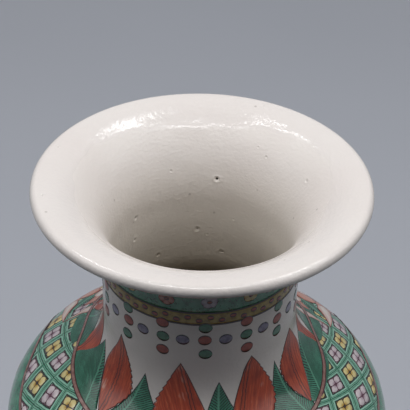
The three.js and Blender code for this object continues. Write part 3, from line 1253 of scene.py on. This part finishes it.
def climbing_repeat(middle, side, turn):
    """One stem with its flowers and leaves. Side is -1 for a mirrored repeat."""

    def there(x, y):
        return beside((middle, field_top + y), side * x, 0)

    spine = curve([there(x, y) for x, y in stem_points])
    stroke(scroll["stem"], spine, lambda u: 1.5 - 0.8 * u, 60, ground + 0.02)
    kinds = list(petal_kinds)
    leaf_count = 0
    for kind, x, y, radius in scroll_flowers:
        kind = kinds[(kinds.index(kind) + turn) % len(kinds)]
        centre = there(x, y)
        fork = (stem_foot - y - 1.2 * abs(x)) / (stem_foot - stem_top)
        stalk = curve([spine(min(max(fork, 0), 1)), there(x * 0.75, y + 9), centre])
        stroke(scroll["stem"], stalk, lambda u: 0.75, 16, ground + 0.01)
        large = radius > 12
        leaves, leaf_length, wide = (5, 17, 11) if large else (3, 13, 8)
        first = random.uniform(0, 360)
        for k in range(leaves):
            heading = first + (360 * k + random.uniform(-40, 40)) / leaves
            leaf_count += 1
            into = scroll["green" if leaf_count % 3 else "leaf"]
            layer = ground + 0.02 + 0.007 * (leaf_count % 3)
            size = (radius * 0.6, radius + leaf_length)
            petal(into, centre, heading, *size, wide, layer, k, 0.9, 16)
        if large:
            peony(kind, centre, radius)
        else:
            small_blossom(scroll[kind], scroll["heart"], centre, radius, under + 0.01)
    for k, share in enumerate((0.04, 0.13, 0.3, 0.47, 0.64, 0.8, 0.93, 1.0)):
        at, ahead = spine(share - 0.02), spine(share)
        run = radians(ahead[0] - at[0]) * body_radius
        heading = degrees(atan2(run, at[1] - ahead[1])) + 55 * (-1) ** k * (k < 7)
        into = scroll["green" if k % 2 else "leaf"]
        petal(into, tuple(ahead), heading, 0.5, 24, 10, ground + 0.03, k, 0.9, 16)


for k in range(repeats):
    climbing_repeat(360 / repeats * k, (-1) ** k, k)
enamel_pieces("body_{}", scroll, body_enamels)

# %% The lower border, the row of pointed leaves and the lines at the foot
border_top = way_of(waist_height + 3)
border_foot = way_of(waist_height - 11)
leaf_row_top = border_foot + 3
leaf_row_end = way_of(foot_height + 4)
bands("lower_seeded_border", ((border_top, border_foot, 6),), seeded_green)
lower_lines = ((border_top, 0.4), (border_foot, 0.4), (leaf_row_end + 1.2, 0.4))
lower_lines += ((way_of(foot_height - 4), 0.7),)
round_lines("lower_dark_lines", lower_lines, dark_line)
lower = new_meshes(("red", "yellow", "lilac", "heart", "green", "leaf"))
in_a_row = 20
for k in range(in_a_row):
    centre = (360 / in_a_row * (k + 0.5), (border_top + border_foot) / 2)
    small_blossom(lower[hues[k % 4]], lower["heart"], centre, 4.2)
    kind, layer = ("green", under) if k % 2 else ("leaf", ground + 0.02)
    low_end = (360 / in_a_row * k, leaf_row_end)
    size = (leaf_row_end - leaf_row_top - 1, 20.5)
    petal(lower[kind], low_end, 0, 0, *size, layer, k, 0.7, 20)
enamel_pieces("lower_{}", lower, body_enamels)

# %% [markdown]
# The camera looks down into the mouth from the front, as in the photograph. Its place was
# found by laying the lip, the neck and the shoulder over those in the photograph.

# %% Camera at the photograph's angle
look_down = radians(34.95)
roll = radians(1.3)
distance = 750
photo_width = 410
focal_pixels = 1724
aim_right, aim_down = 2.7, 22.5  # the picture's middle from the lip's middle, in pixels
forward = Vector((0, cos(look_down), -sin(look_down)))
level = Vector((1, 0, 0))
above = level.cross(forward)
right = cos(roll) * level + sin(roll) * above
upward = -sin(roll) * level + cos(roll) * above
forward = (forward + (aim_right * right - aim_down * upward) / focal_pixels).normalized()
right = (right - forward * right.dot(forward)).normalized()
upward = right.cross(forward)
turn = Matrix((right, upward, -forward)).transposed().to_4x4()
place = Vector((0, -distance * cos(look_down), height + distance * sin(look_down)))
camera_data = bpy.data.cameras.new("photo_camera")
camera_data.sensor_width = 36
camera_data.lens = focal_pixels / photo_width * camera_data.sensor_width
camera_data.clip_start = 0.01
camera = bpy.data.objects.new("photo_camera", camera_data)
camera.matrix_world = Matrix.Translation(place * mm) @ turn
scene.collection.objects.link(camera)
scene.camera = camera
print("lens", round(camera_data.lens, 1), "mm")

# %% [markdown]
# A wide lamp and a long narrow one hang over the vase, and a large soft one stands on either
# side. Two small windows behind it make the two bright spots inside the mouth. The plain
# pale floor takes the vase's shadow and goes over into the backdrop far away. It is darker
# for the light that it throws back on the vase, or the underside of the lip would glow.

# %% Floor, lamps and sky
backdrop = "#9da0a8"


def seen_share(tree):
    """1 where the camera or a reflection looks, 0 where the surface lights the vase."""
    rays = add("LightPath", tree=tree).outputs
    return either(*(rays[f"Is {kind} Ray"] for kind in ("Camera", "Glossy", "Transmission")))


bm = bmesh.new()
bmesh.ops.create_grid(bm, x_segments=1, y_segments=1, size=6)
mesh = bpy.data.meshes.new("studio_floor")
bm.to_mesh(mesh)
bm.free()
floor = bpy.data.objects.new("studio_floor", mesh)
card, tree = new_material("matt_floor_paint")
spot = add("TexCoord", tree=tree).outputs["Object"]
seen = seen_share(tree)
tone = mixed(seen, "#3c3f44", mixed(noise(spot, 3), "#c0c3cb", "#babdc5"))
paint = add("BsdfPrincipled", {"Base Color": tone, "Roughness": 0.9})
away = add("VectorMath", {0: spot}, operation="LENGTH").outputs["Value"]
far = maths("MULTIPLY", seen, faded(away, 0.9, 3))
haze = add("Emission", {"Color": backdrop}, tree)
add("OutputMaterial", {"Surface": add("MixShader", {0: far, 1: paint, 2: haze})})
mesh.materials.append(card)
scene.collection.objects.link(floor)
floor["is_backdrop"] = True

lip = Vector((0, 0, height * mm))
for name, at, size, power in (
    ("wide_lamp", (0, -0.4, 2.0), (1.3, 0.45), 6.4),
    ("long_lamp", (0, -0.3, 1.9), (1.0, 0.08), 2.9),
    ("left_window", (-0.46, 0.5, 1.65), (0.22, 0.3), 2.3),
    ("right_window", (0.42, 0.5, 1.65), (0.24, 0.32), 2.7),
    ("left_side", (-1.05, -0.05, 1.5), (1.1, 1.1), 5.3),
    ("right_side", (1.05, -0.05, 1.5), (1.1, 1.1), 5.3),
):
    lamp = bpy.data.lights.new(name, "AREA")
    lamp.shape = "RECTANGLE"
    lamp.size, lamp.size_y = size
    lamp.energy = power
    stand = bpy.data.objects.new(name, lamp)
    stand.location = at
    stand.rotation_euler = (lip - Vector(at)).to_track_quat("-Z", "Y").to_euler()
    scene.collection.objects.link(stand)
world = bpy.data.worlds.new("studio")
world.use_nodes = True
tree = world.node_tree
toward = add("SeparateXYZ", {0: add("TexCoord", tree=tree).outputs["Generated"]})
sky = ramp(toward.outputs[2], ((0, "#141518"), (0.4, "#2c2e32"), (1, "#8c8f94")))
sky = mixed(seen_share(tree), sky, backdrop)
tree.links.new(sky, tree.nodes["Background"].inputs[0])
scene.world = world
scene.view_settings.view_transform = "Standard"
print("lit by", len(bpy.data.lights), "lamps")

# %% Measure the model
low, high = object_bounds()
boxes = {"cad": [list(cad_low), list(cad_high)], "visual": [list(low), list(high)]}
print("visual box in metres:", list(low), list(high))
